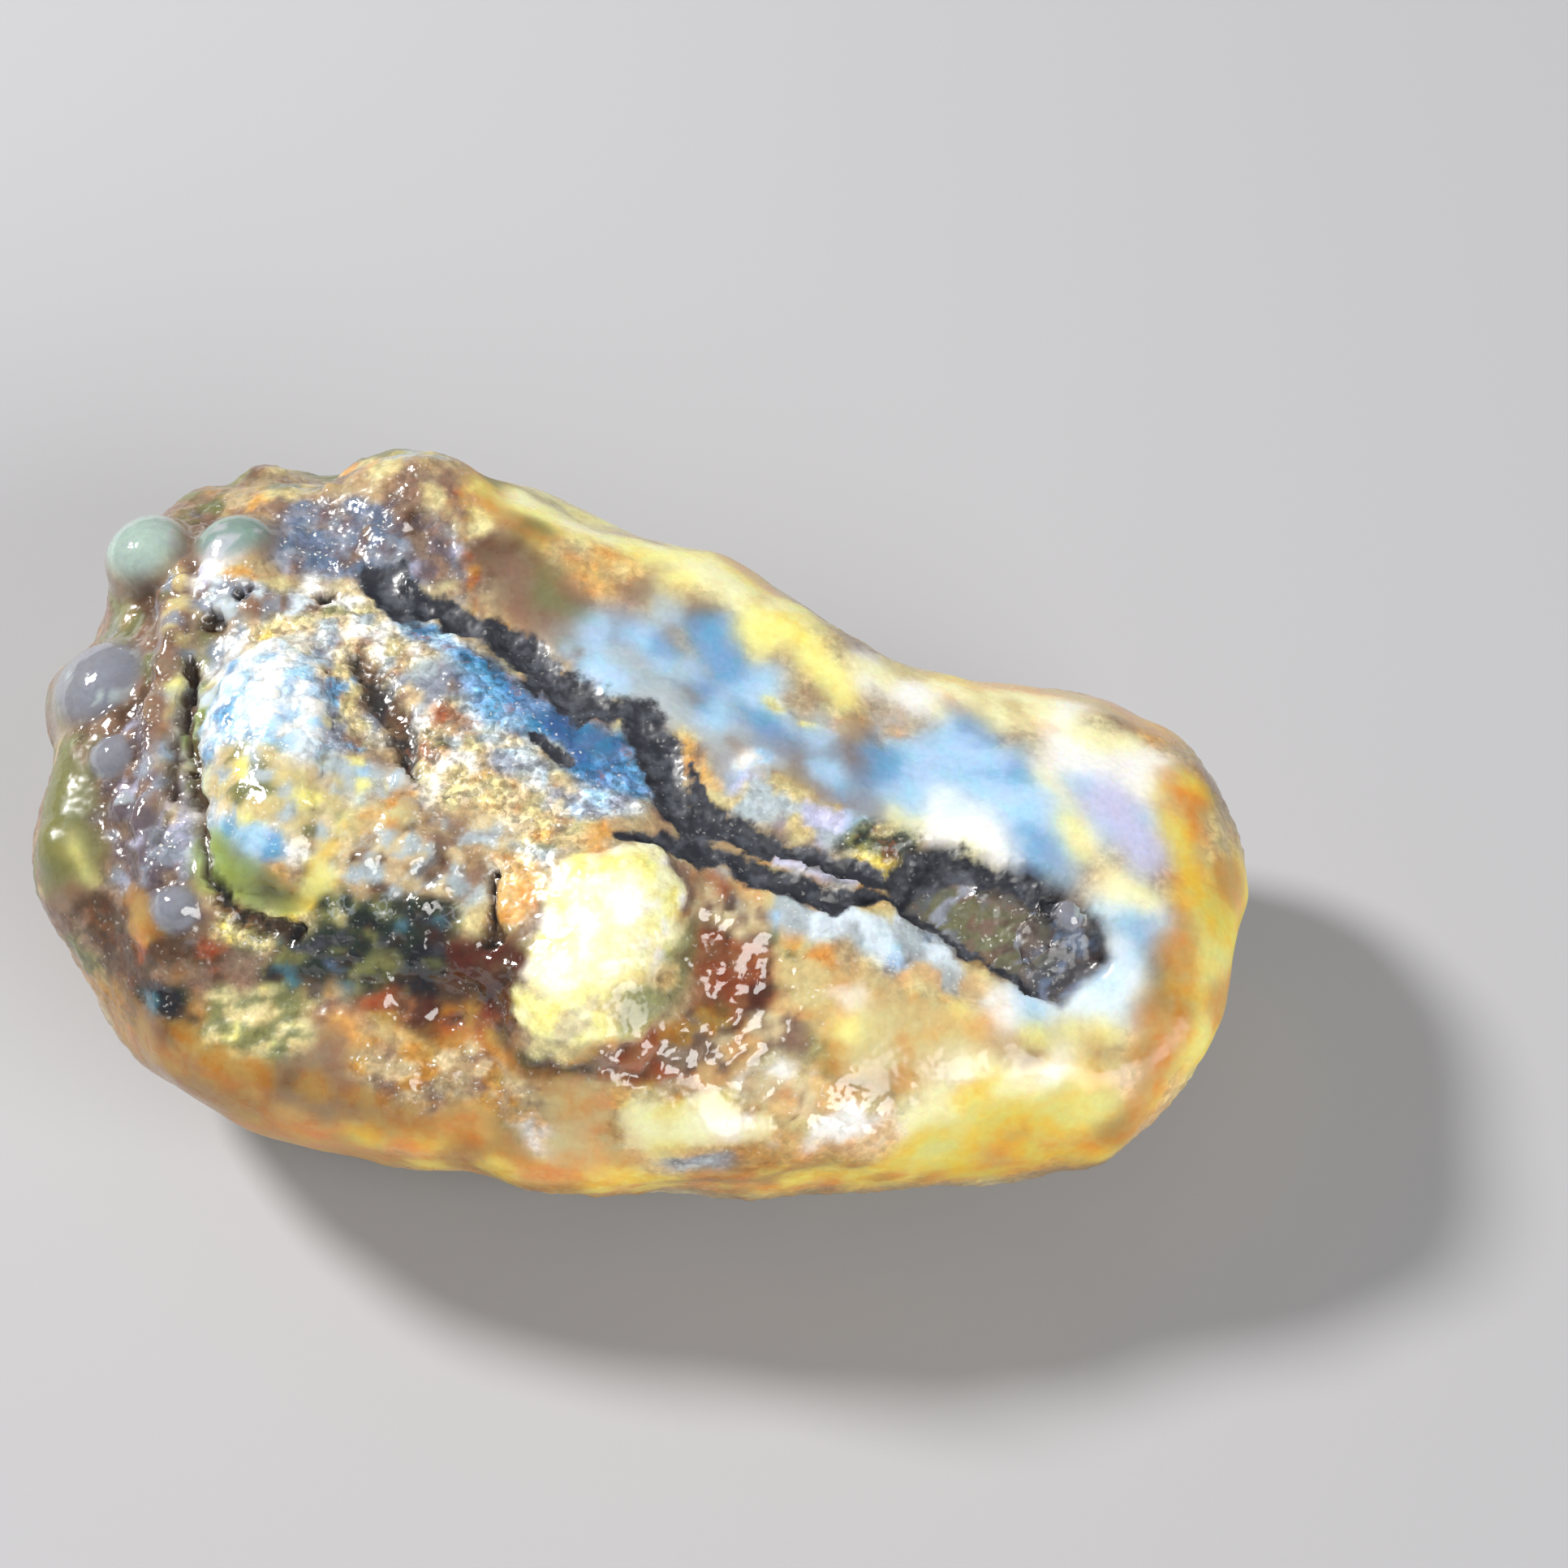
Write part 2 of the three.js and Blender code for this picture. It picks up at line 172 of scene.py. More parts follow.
# The crust's regions, painted in this order: name, look, colours and their shares, cell size and reach in
# mm, and the places it runs through
REGIONS = [
    # wide end
    ("far side of the end", "crust", dict(clay=5, olive=3, tan=1), 0.6, 1.7,
     [(-9.5, -75), (-12, -40), (-12.2, 20), (-12, 70)]),
    ("end crust", "glassy", dict(clay=4, umber=3, smoke=2, plum=2, olive=1), 0.6, 1.5,
     [(-10.2, -15), (-10, 60)]),
    ("speckled column", "glassy", dict(clay=4, straw=2, smoke=2, olive=1), 0.35, 0.5,
     [(-9.75, -48), (-9.6, 0)]),
    ("olive top", "glassy", dict(olive=3, clay=2), 0.5, 0.5, [(-9.5, -52)]),
    ("brown by the knob", "glassy", dict(clay=4, copal=1, smoke=1), 0.6, 0.55, [(-11.8, 14)]),
    ("column", "glassy", dict(copal=2, clay=4, umber=1), 0.5, 0.35, [(-10, -3), (-9.9, 30)]),
    ("column's stripe", "glassy", dict(straw=4, lemon=1, tan=2), 0.3, 0.16, [(-9.7, 3), (-9.65, 20)]),
    ("plum grains", "sparkly", dict(plum=4, smoke=2, clay=3, lilac=1), 0.33, 0.75,
     [(-10.5, 30), (-10.4, 50), (-9.5, 48)]),
    ("lilac grains", "sparkly", dict(lilac=2, smoke=2, sand=1), 0.3, 0.3, [(-9.3, 42), (-9.2, 47)]),
    ("honey pocket", "waxy", dict(honey=2, copal=4, clay=2), 0.5, 0.45, [(-10.3, 58), (-10, 64)]),
    ("olive flank", "waxy", dict(olive=6, straw=1, clay=2), 1.0, 0.9, [(-12, 38), (-11.7, 62)]),
    ("pale streak", "waxy", dict(lemon=2, straw=3), 0.5, 0.16, [(-11.8, 48), (-11.2, 58)]),
    ("brown foot", "crust", dict(umber=4, clay=3), 0.6, 0.9, [(-11, 66), (-10, 80)]),
    ("rust foot", "crust", dict(rust=2, umber=3, clay=2), 0.5, 0.7, [(-9.8, 66), (-8.5, 68)]),

    # back of the wide end
    ("brown lobe", "crust", dict(clay=3, umber=1, olive=4, straw=3), 0.6, 1.0, [(-8.5, -65)]),
    ("orange spot", "waxy", dict(orange=3, honey=1), 0.3, 0.25, [(-8.2, -52)]),
    ("olive fold", "glassy", dict(olive=3, straw=3, clay=1), 0.5, 0.5, [(-7.8, -52), (-7.3, -55)]),
    ("olive lobe", "crust", dict(straw=3, olive=5, sand=1), 1.1, 1.3,
     [(-6.5, -70), (-5.3, -67), (-4.4, -63)]),
    ("mist on the lobe", "crust", dict(mist=2, olive=3, straw=4), 0.6, 0.85, [(-5.3, -56), (-4.6, -58)]),
    ("violet crust", "sparkly", dict(smoke=5, plum=4, slate=3, clay=2, lilac=1), 0.45, 1.1,
     [(-7, -39), (-4.7, -36)]),
    ("slate folds", "sparkly", dict(slate=4, smoke=2), 0.4, 0.35, [(-7.2, -44), (-6.8, -36)]),
    ("slate spot", "sparkly", dict(slate=3, smoke=2), 0.4, 0.35, [(-6, -43), (-5.3, -41)]),
    ("brown grains", "sparkly", dict(clay=4, umber=1, plum=2), 0.35, 0.5, [(-5.2, -47), (-4.5, -34)]),
    ("rust streak", "crust", dict(rust=1, copal=2, clay=3), 0.33, 0.2, [(-4, -50), (-3.5, -28)]),

    # back ridge
    ("golden shoulder", "clear", dict(honey=3, gold=3, olive=2), 0.7, 0.85, [(-3.5, -58), (-2.6, -47)]),
    ("yellow ridge", "waxy", dict(lemon=6, cream=2, straw=2), 0.7, 0.9, [(-2.5, -55), (3, -49)]),
    ("far side of the ridge", "waxy", dict(straw=5, lemon=2, tan=1), 0.9, 1.1, [(-3, -70), (3, -68)]),
    ("ridge's right end", "waxy", dict(lemon=6, gold=1, straw=2), 0.6, 0.6, [(2.5, -42), (4, -34)]),
    ("peach knuckle", "waxy", dict(peach=3, honey=2), 0.5, 0.4, [(1.5, -60), (2.5, -58)]),
    ("brown haze", "waxy", dict(clay=5, umber=4, olive=2), 0.7, 0.75, [(-2.9, -40), (-1.6, -29)]),
    ("orange fleck", "crust", dict(orange=3, gold=1), 0.3, 0.16, [(-1.1, -42), (-0.8, -38)]),
    ("tan slope", "waxy", dict(straw=3, clay=2, mist=2), 0.6, 0.5, [(0, -40), (1.2, -38)]),

    # back slope
    ("grey slope", "waxy", dict(mist=5, smoke=3, clay=2, pale_sky=2, sky=1), 0.6, 1.5,
     [(-0.5, -22), (2, -5), (4, 5)]),
    ("teal fleck", "waxy", dict(deep_teal=3, sky=2), 0.35, 0.4, [(1.2, -37), (1.6, -33)]),
    ("sky streak", "waxy", dict(sky=4, pale_sky=2), 0.5, 0.6, [(1.4, -36), (2, -30), (2.5, -16)]),
    ("pale sky streak", "waxy", dict(pale_sky=4, sky=2, mist=1), 0.5, 0.45, [(0.2, -28), (1.4, -17)]),
    ("lemon spot", "glassy", dict(lemon=3, cream=1), 0.4, 0.14, [(2.5, -24), (2.7, -23)]),
    ("second lemon spot", "glassy", dict(lemon=3), 0.4, 0.16, [(3.3, -17), (3.5, -16)]),
    ("brown wisp", "waxy", dict(clay=3, honey=2, tan=1), 0.5, 0.45, [(4.3, -20), (4.4, -4)]),
    ("sunlit spot", "glassy", dict(white=3, pale_sky=1), 0.4, 0.4, [(2.2, 3)]),
    # the next region is a painted highlight: a small white glint on the back slope
    ("painted glint spot", "glassy", dict(white=3), 0.4, 0.2, [(2.4, 12)]),
    ("seam shoulder", "crust", dict(peach=2, honey=2, straw=2, clay=1), 0.33, 0.3, [(0.7, 0), (1.4, 16)]),
    ("lower shoulder", "crust", dict(mist=3, straw=2, lilac=2), 0.5, 0.55, [(2.2, 16), (3.5, 19)]),
    ("cream shoulder", "waxy", dict(cream=4, straw=3, white=2, peach=1), 0.8, 1.1, [(5, -45), (8.5, -55)]),
    ("sky field", "waxy", dict(pale_sky=5, sky=4, white=1), 0.9, 1.4, [(5.5, -8), (6.5, -25), (8.2, 3)]),
    ("white gap", "waxy", dict(white=4, ice=2), 0.7, 0.6, [(6.2, 3), (7.2, 15)]),
    ("lemon gap", "waxy", dict(lemon=2, cream=3), 0.6, 0.4, [(8.5, -22), (8.7, 12)]),
    # the next region is a painted highlight: white on the facets at the right end of the back
    ("painted highlight on the facets", "waxy", dict(white=6, cream=1), 1.0, 1.15, [(9, -36), (10.5, -33)]),
    ("lilac end", "waxy", dict(lilac=5, pale_sky=1), 0.8, 1.0, [(9.4, -14), (10.2, -3)]),
    ("tan rim", "waxy", dict(peach=3, straw=3, gold=1), 0.8, 0.7, [(5.5, -62), (11, -68)]),
    ("yellow by the pit", "waxy", dict(lemon=2, cream=2, white=2), 0.5, 0.35, [(5, 12), (6.7, 18)]),
    ("moss by the pit", "granular", dict(moss=3, olive=3, straw=1), 0.3, 0.5, [(4.3, 22), (5, 22)]),
    ("gold by the pit", "granular", dict(gold=3, honey=1), 0.3, 0.28, [(4.3, 30), (5, 30)]),
    ("ice by the pit", "waxy", dict(ice=3, pale_sky=4, white=1, sky=1), 0.4, 1.0,
     [(9.8, 26), (10.3, 40), (10, 54)]),
    ("lemon by the pit", "waxy", dict(lemon=2, cream=2), 0.5, 0.4, [(9.2, 20), (10.3, 24)]),

    # tip
    ("orange band", "clear", dict(honey=3, orange=2, peach=2, gold=2), 0.8, 0.7, [(11.1, -38), (11.3, 12)]),
    ("golden tip", "clear", dict(gold=7, honey=2, lemon=2), 0.9, 1.5, [(12.75, 0), (12, 42), (11.4, 60)]),

    # between the dome and the seam
    ("granular tan", "granular", dict(sand=4, straw=4, white=4, mist=2, tan=2, clay=1, olive=1), 0.35, 1.7,
     [(-6, -16), (-4, 8), (-2.75, 29)]),
    ("grey grains", "sparkly", dict(mist=3, smoke=2, sand=2, clay=1), 0.3, 0.7, [(-5.8, 14), (-4.2, -6)]),
    ("rust by the slot", "granular", dict(rust=3, orange=1, clay=2), 0.25, 0.3, [(-4.6, 22), (-4.2, 8)]),
    ("olive grains", "granular", dict(olive=3, moss=1, sand=1), 0.3, 0.4, [(-4.4, 14)]),
    ("honey grains", "granular", dict(honey=2, sand=3, straw=2), 0.33, 0.5, [(-3.3, 26), (-2.2, 31)]),
    ("sky of the band", "granular", dict(sky=3, pale_sky=1, blue=2), 0.4, 0.45, [(-4.9, -20), (-3.5, -10)]),
    ("blue band", "granular", dict(blue=5, deep_blue=1, sky=3), 0.5, 0.85,
     [(-3.2, -4), (-1.6, 8), (-0.4, 19)]),
    ("deep blue", "glassy", dict(deep_blue=4, blue=2), 0.6, 0.55, [(-2, 3), (-1.1, 9)]),
    ("pale by the band", "granular", dict(mist=3, pale_sky=2, sand=1, white=1, smoke=2), 0.3, 0.4,
     [(-2.9, 17), (-0.5, 26)]),

    # dome
    ("dome", "frosted", dict(white=4, ice=4, pale_sky=3, sky=1, cream=1), 0.33, 2.0,
     [(-7.75, 8), (-7.4, 28)]),
    ("dome's sky", "frosted", dict(sky=3, pale_sky=3, ice=2), 0.33, 0.5, [(-8.3, 16), (-7.9, 24)]),
    ("dome's top sky", "frosted", dict(sky=2, pale_sky=3, ice=1), 0.33, 0.4, [(-7.7, 5), (-7.1, 12)]),
    ("dome's white", "frosted", dict(white=4, ice=2, pale_sky=1), 0.33, 0.6, [(-7.5, -2), (-7.1, 26)]),
    ("dome's right", "granular", dict(sand=3, straw=2, smoke=2, clay=2, sky=1), 0.33, 0.65,
     [(-6.2, 2), (-5.8, 20)]),
    ("dome's mist", "glassy", dict(mist=3, pale_sky=2, lemon=1, cream=1), 0.4, 0.55,
     [(-6.2, 27), (-5.5, 27)]),
    ("dome's foot", "glassy", dict(straw=4, mist=3, sand=2, lemon=1, olive=1), 0.4, 0.8,
     [(-8.3, 32), (-6.4, 34)]),
    ("dome's low sky", "glassy", dict(sky=3, pale_sky=2), 0.33, 0.35, [(-8.4, 41), (-7.5, 43)]),
    ("dome's green", "waxy", dict(fern=6, olive=2), 0.6, 0.7, [(-8.4, 47), (-7.1, 54)]),
    ("dome's gold", "waxy", dict(gold=4, lemon=3, straw=1), 0.5, 0.55,
     [(-6.5, 50), (-6.1, 43), (-5.6, 38)]),
    ("dome's rim", "glassy", dict(fern=3, olive=4, straw=1), 0.5, 0.2, [(-9.1, 0), (-9.1, 22), (-8.7, 44)]),
    ("gold above the dome", "granular", dict(gold=1, straw=3, sand=2), 0.3, 0.4,
     [(-8.1, -13), (-7.2, -13)]),
    # the next region is a painted highlight: white on the lower left of the sea knob
    ("painted_glints", "sparkly", dict(white=4, ice=1, lilac=1), 0.3, 0.42, [(-9.3, -23), (-8.9, -31)]),
    ("lower frost", "sparkly", dict(ice=2, smoke=3, clay=2), 0.3, 0.4,
     [(-9.3, -18), (-8.2, -17), (-7, -20)]),

    # celled glass under the dome, and the crevice below it
    ("celled glass", "celled", dict(umber=1, clay=3, tan=4, mist=4, sand=3), 0.4, 1.0,
     [(-5.2, 41), (-4, 43), (-3.6, 38)]),
    ("gold cells", "celled", dict(honey=3, tan=2, straw=1), 0.35, 0.3, [(-5.4, 35), (-5, 32)]),
    ("olive crevice", "celled", dict(olive=3, moss=4, straw=1, char=1), 0.4, 0.65, [(-6.2, 53), (-4, 51)]),
    ("yellow ledge", "granular", dict(straw=4, gold=2, olive=1), 0.35, 0.5, [(-8.3, 60), (-6.6, 57)]),
    ("dark crevice", "wet", dict(moss=4, char=2, ash=1, olive=2, deep_teal=1), 0.4, 0.85,
     [(-6.8, 64), (-4.2, 57)]),
    ("slate pool", "wet", dict(slate=1, moss=3), 0.33, 0.25, [(-6.5, 64), (-6, 63)]),
    ("dark rust", "wet", dict(dark_rust=5, umber=2, char=1), 0.5, 0.85, [(-4.2, 62), (-3, 58), (-2.9, 65)]),
    ("rust shelf", "wet", dict(rust=4, copal=3, dark_rust=1), 0.5, 0.55, [(-5.2, 67), (-3, 69)]),
    ("dark line", "wet", dict(moss=3, umber=2), 0.4, 0.25, [(-2.8, 67), (-1.2, 69)]),

    # lower front, left to right
    ("belly", "waxy", dict(copal=8, honey=3), 1.1, 2.0, [(-9.5, 85), (-3, 80)]),
    ("belly's brown", "waxy", dict(copal=3, clay=3, umber=1), 0.6, 0.85, [(-9.7, 76), (-6, 77)]),
    ("straw shelf", "crust", dict(straw=4, lemon=1, olive=4), 0.4, 0.75, [(-8.3, 73), (-7.3, 72)]),
    ("dark pocket", "wet", dict(moss=4, deep_teal=1, char=2), 0.4, 0.45, [(-10, 73), (-9.3, 73)]),
    ("belly's gold", "clear", dict(honey=6, orange=2, gold=2), 0.9, 1.0,
     [(-7.5, 92), (-5.5, 89), (-2.5, 88)]),
    ("belly's sparkle", "sparkly", dict(tan=3, clay=2, copal=2, sand=2), 0.35, 0.75,
     [(-5.3, 74), (-2.7, 74)]),
    ("green facet", "wet", dict(olive=3, straw=1), 0.4, 0.3, [(-2.7, 79)]),
    ("white facet", "sparkly", dict(white=3, peach=2), 0.3, 0.38, [(-2.4, 77), (-1.8, 82)]),
    ("tan front", "waxy", dict(straw=4, honey=3, peach=1), 0.6, 0.8, [(-1.3, 75), (-0.8, 86)]),
    ("orange vein", "waxy", dict(orange=2, honey=1), 0.5, 0.16, [(-0.8, 74), (-0.75, 86)]),
    ("foot of the front", "waxy", dict(orange=2, gold=3, copal=2), 0.7, 0.9,
     [(-4.5, 88), (-2, 90), (5.5, 92)]),
    ("cream front", "waxy", dict(cream=4, lemon=4), 0.8, 0.75, [(0.4, 76), (1.4, 74)]),
    ("white front", "waxy", dict(white=2, cream=3), 0.5, 0.4, [(1.3, 73), (2.3, 77)]),
    ("grey spot", "sparkly", dict(smoke=3, mist=2, ash=1), 0.33, 0.32, [(0.6, 82), (1.6, 83)]),
    ("olive tan", "glassy", dict(honey=3, straw=4, olive=3, sand=1), 0.6, 1.1,
     [(2.6, 54), (3.4, 60), (4.5, 66)]),
    ("pale crackle", "wet", dict(sand=3, white=2, peach=2, straw=2), 0.5, 0.8, [(2.8, 73), (4, 75)]),
    ("pale below the seam", "glassy", dict(mist=4, ice=3, peach=2, pale_sky=1, straw=2), 0.5, 0.75,
     [(2.2, 42), (4, 43), (5.3, 46), (6, 51), (7, 58)]),
    ("wet rust", "wet", dict(rust=5, copal=2, dark_rust=2, clay=2), 0.5, 0.95,
     [(1.5, 48), (1.6, 58), (1.3, 64)]),
    ("wet copal", "wet", dict(rust=3, copal=3, clay=3), 0.5, 0.6, [(0.9, 63), (-0.8, 67)]),
    ("peach wet", "wet", dict(peach=4, clay=3, sand=1), 0.5, 0.6, [(1.5, 68), (2.7, 65)]),
    ("sand by the seam", "wet", dict(sand=3, clay=2, tan=2), 0.4, 0.45, [(1.3, 43), (2.1, 47)]),
    ("right front", "waxy", dict(straw=5, honey=3, tan=2, lemon=2), 0.6, 1.2, [(4.5, 63), (8.5, 67)]),
    # the next region is a painted highlight: white on wet pebbles of the right front
    ("painted highlight on wet pebbles", "waxy", dict(white=3, sand=1), 0.5, 0.32, [(3.8, 58), (4.2, 57)]),
    ("brown spot", "waxy", dict(rust=3, copal=2), 0.3, 0.3, [(5.4, 67)]),
    ("cream glow", "waxy", dict(white=4, cream=4, gold=2), 0.8, 1.0, [(5.8, 76), (8, 74)]),
    ("rusty fleck", "waxy", dict(rust=3, umber=2), 0.3, 0.16, [(7.4, 66), (7.9, 67)]),
    ("yellow glow", "clear", dict(gold=6, lemon=4, honey=1), 0.8, 0.9, [(5.5, 86), (9, 78)]),
    ("orange foot", "clear", dict(orange=3, gold=4), 0.8, 0.75, [(6.5, 93), (9, 89)]),
    ("ice below the pit", "waxy", dict(ice=3, white=3, pale_sky=2), 0.5, 0.65, [(7.4, 59), (9.3, 59)]),
    ("golden facet", "clear", dict(honey=4, copal=4), 0.5, 0.6, [(10.5, 62), (10.4, 72), (9.8, 84)]),
    ("brown corner", "clear", dict(copal=3, clay=2), 0.5, 0.4, [(9.5, 83)]),
    ("lemon by the facet", "waxy", dict(lemon=4, cream=1), 0.5, 0.25, [(9.8, 65), (9.2, 64)]),
    ("tip edge", "clear", dict(gold=4, orange=2), 0.6, 0.22, [(11, 70), (10.5, 80)]),
    ("smudge", "waxy", dict(umber=3, olive=2), 0.3, 0.25, [(10.4, 51), (10.5, 57)]),
]

# Charred bands: places with their half-width in mm
CHARRED = [
    # seam, from the back of the wide end, with its thin branch and a wedge in the blue
    [(-6, -32, 0.25), (-5.2, -28, 0.6), (-4.3, -26, 0.25), (-3.3, -22, 0.3), (-2.6, -17, 0.5),
     (-1.8, -10, 0.45), (-1, -4, 0.45), (-0.2, -3, 0.55), (0.25, 5, 0.45), (0.4, 14, 0.4), (0.6, 23, 0.35),
     (1, 26, 0.38)],
    [(0.8, 8, 0.1), (1.2, 19, 0.12)],
    [(-2.5, 8, 0.08), (-1.6, 16, 0.14)],
    # upper and lower arms, which part round a pale sliver
    [(1, 25, 0.35), (2, 26, 0.35), (2.8, 28, 0.25), (3.8, 31, 0.2), (4.8, 32, 0.2)],
    [(-0.8, 31, 0.1), (0.5, 31, 0.22), (1.4, 33, 0.3), (2.3, 36, 0.38), (3, 38, 0.35), (3.8, 40, 0.25),
     (4.6, 37, 0.15), (5.2, 36, 0.15)],
    # rim of the pit
    [(4.8, 32, 0.15), (5.6, 28, 0.4), (6.5, 25, 0.3), (7.4, 27, 0.2), (8.4, 31, 0.1)],
    [(5, 36, 0.12), (6, 43, 0.1), (7, 51, 0.12), (8, 56, 0.12)],
]
# Brown crevices: the slot beside the dome, pockets round the knobs, the dome and the cream knob
CREVICES = [
    [(-5.9, -5, 0.2), (-5.35, 5, 0.32), (-4.85, 17, 0.28), (-4.65, 24, 0.16)],
    [(-6.7, -24, 0.2)], [(-8.4, -20, 0.16)], [(-9, -14, 0.22)], [(-4.1, 28, 0.1)],
    [(-8.6, 53, 0.16), (-8.2, 56, 0.14), (-7.5, 58, 0.18), (-7, 58, 0.14)],
    [(-3, 43, 0.1), (-3, 52, 0.14)],
]
PIT = [(5.8, 32, 0.95), (7.2, 39, 1.2), (8.3, 44, 1.2)]
PIT_FLOOR = [(6.3, 38), (7.6, 46)]
PIT_FLOOR_REACH = 0.75
PALE_SLIVER = [(2.6, 31, 0.14), (3.4, 33, 0.2), (4.2, 35, 0.16)]
CREASE = [(-9.4, -2, 0.08), (-9.4, 18, 0.1), (-9.1, 30, 0.1), (-8.9, 42, 0.08), (-8.6, 52, 0.1)]
SECOND_CREASE = [(-9.6, 22, 0.1), (-9.5, 36, 0.14)]
COLUMN = [(-10, -30, 0.4), (-9.8, 30, 0.45), (-9.9, 50, 0.4)]
DOME = [(-7.8, 8, 1.4), (-7.9, 42, 1.2)]
CREAM_KNOB = [(-0.6, 46, 1.6), (-0.8, 53, 1.5), (-1.8, 58, 1.0)]
# painted shade: the olive band along the cream knob's lower right side
CREAM_SHADE = [(-0.3, 59, 0.5), (0.5, 56, 0.55), (0.9, 48, 0.25)]
CREAM_EDGE = [(-2.5, 47, 0.35), (-2.3, 41, 0.25), (-3, 39, 0.12)]
CREAM_NOTCH = [(-2.9, 57, 0.25), (-2.2, 57, 0.1)]

# Glassy knobs grown into the skin: colour, place, radius and how proud they stand, in mm
KNOBS = [
    ("teal", (-10.7, -36), 1.05, 0.42), ("sea", (-8.75, -36), 1.0, 0.36), ("smoke", (-11.4, 3), 1.35, 0.45),
    ("smoke", (-10.9, 29), 0.5, 0.3), ("plum", (-10.6, 41), 0.34, 0.24), ("plum", (-10.2, 43), 0.32, 0.22),
    ("slate", (-3.35, -22), 0.3, 0.25), ("smoke", (-9.4, 57), 0.48, 0.28), ("smoke", (8.6, 36), 0.34, 0.22),
    ("ice", (-8.7, -17), 0.3, 0.2), ("ice", (-8.9, 11), 0.26, 0.2),
]
LOBES = [((-8.4, -62), 1.0, 0.3), ((-5.9, -64), 1.55, 0.35), ((-12, 52), 0.9, 0.2)]

# Beads of glass strewn over an area: how many, their smallest and largest radius, the reach and the places
BEADS = [
    (14, 0.14, 0.24, 0.8, [(-9.2, -24), (-7.5, -18)]),
    (14, 0.16, 0.26, 1.0, [(-7, -42), (-4.5, -35)]),
    (12, 0.16, 0.24, 1.2, [(-8, 10), (-7.25, 28)]),
    (12, 0.14, 0.22, 0.6, [(-10.5, 15), (-10.25, 50)]),
    (10, 0.18, 0.26, 1.0, [(7, 30), (9, 52)]),
    (14, 0.20, 0.30, 0.9, [(-5.2, 36), (-3.7, 46)]),
]
BEAD_SEED = 7
BEAD_PROUD = 0.75  # share of its radius that a bead stands proud by

# Flakes sealed in the clear amber: between which places, how deep and how large, in mm
INCLUSION_ZONES = [
    ((9.5, 62), (11.5, 84)), ((11, -20), (12, 50)), ((5.5, 80), (9, 92)), ((-5, 82), (-3, 92)),
]
INCLUSION_DEPTH = (0.35, 0.9)
INCLUSION_SIZE = (0.05, 0.16)
INCLUSION_COUNT = 40
INCLUSION_SEED = 3
INCLUSION_ROUGHNESS = 0.5


# ---- the stone's mesh --------------------------------------------------------

def smoothstep(value, low, high):
    """0 up to low, 1 from high, and a smooth rise between them."""
    t = np.clip((value - low) / (high - low), 0, 1)
    return t * t * (3 - 2 * t)


def linear(colour):
    """An sRGB 0 to 255 colour as linear light."""
    c = np.array(colour, float) / 255.0
    return np.where(c <= 0.04045, c / 12.92, ((c + 0.055) / 1.055) ** 2.4)


def added(name, data):
    """A new object in the scene."""
    thing = bpy.data.objects.new(name, data)
    bpy.context.scene.collection.objects.link(thing)
    return thing


def with_modifiers(mesh, modifiers):
    """The mesh as modifiers leave it. Each is its kind and its settings."""
    thing = added("blank", mesh)
    for kind, settings in modifiers:
        modifier = thing.modifiers.new(kind, kind)
        for name, value in settings.items():
            setattr(modifier, name, value)
    shaped = thing.evaluated_get(bpy.context.evaluated_depsgraph_get())
    made = bpy.data.meshes.new_from_object(shaped)
    bpy.data.objects.remove(thing)
    return made


def rounded_solid():
    """The CAD solid in mm with its facets rounded off."""
    mesh = bpy.data.meshes.new("solid")
    solid = bmesh.new()
    solid.from_mesh(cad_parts["amber"].data)
    bmesh.ops.scale(solid, vec=(1 / MM,) * 3, verts=solid.verts)
    bmesh.ops.remove_doubles(solid, verts=solid.verts, dist=WELD)
    solid.to_mesh(mesh)
    solid.free()
    return with_modifiers(mesh, [("SUBSURF", {"levels": 2})])


def fused_with_balls(mesh, balls):
    """The mesh with balls (middle, radius) grown into it, as one even skin."""
    joined = bmesh.new()
    joined.from_mesh(mesh)
    for middle, radius in balls:
        bmesh.ops.create_icosphere(joined, subdivisions=4, radius=radius, matrix=Matrix.Translation(middle))
    joined.to_mesh(mesh)
    joined.free()
    return with_modifiers(mesh, [
        ("REMESH", {"mode": "VOXEL", "voxel_size": VOXEL}), ("SMOOTH", {"factor": 0.5, "iterations": 3})])


def rows(items, name):
    """The vectors that a mesh's items hold under a name, one to a row."""
    values = np.empty(len(items) * 3, np.float32)
    items.foreach_get(name, values)
    return values.reshape(-1, 3).astype(float)


def places(mesh):
    """Where the mesh's vertices are."""
    return rows(mesh.vertices, "co")


def move_to(mesh, points):
    """Puts the mesh's vertices at the points."""
    mesh.vertices.foreach_set("co", points.astype(np.float32).ravel())
    mesh.update()


def normals_of(mesh):
    """The outward way at each of the mesh's vertices."""
    return rows(mesh.vertex_normals, "vector")


def spread(values, mesh, rounds):
    """Values evened out between neighbours, once a round."""
    edges = np.empty(len(mesh.edges) * 2, np.int32)
    mesh.edges.foreach_get("vertices", edges)
    here = np.concatenate([edges[0::2], edges[1::2]])
    there = np.concatenate([edges[1::2], edges[0::2]])
    count = np.bincount(here, minlength=len(values))
    for _ in range(rounds):
        sums = [np.bincount(here, weights=column[there], minlength=len(values)) for column in values.T]
        values = (values + np.stack(sums, 1) / count[:, None]) / 2
    return values


def axis_at(x):
    """The y and z of the stone's long axis."""
    t = (x - AXIS_X[0]) / (AXIS_X[1] - AXIS_X[0])
    return AXIS_Y[0] + (AXIS_Y[1] - AXIS_Y[0]) * t, AXIS_Z[0] + (AXIS_Z[1] - AXIS_Z[0]) * t


def lean_of(points):
    """Each point's lean, in degrees."""
    y, z = axis_at(points[:, 0])
    return np.degrees(np.arctan2(y - points[:, 1], points[:, 2] - z))


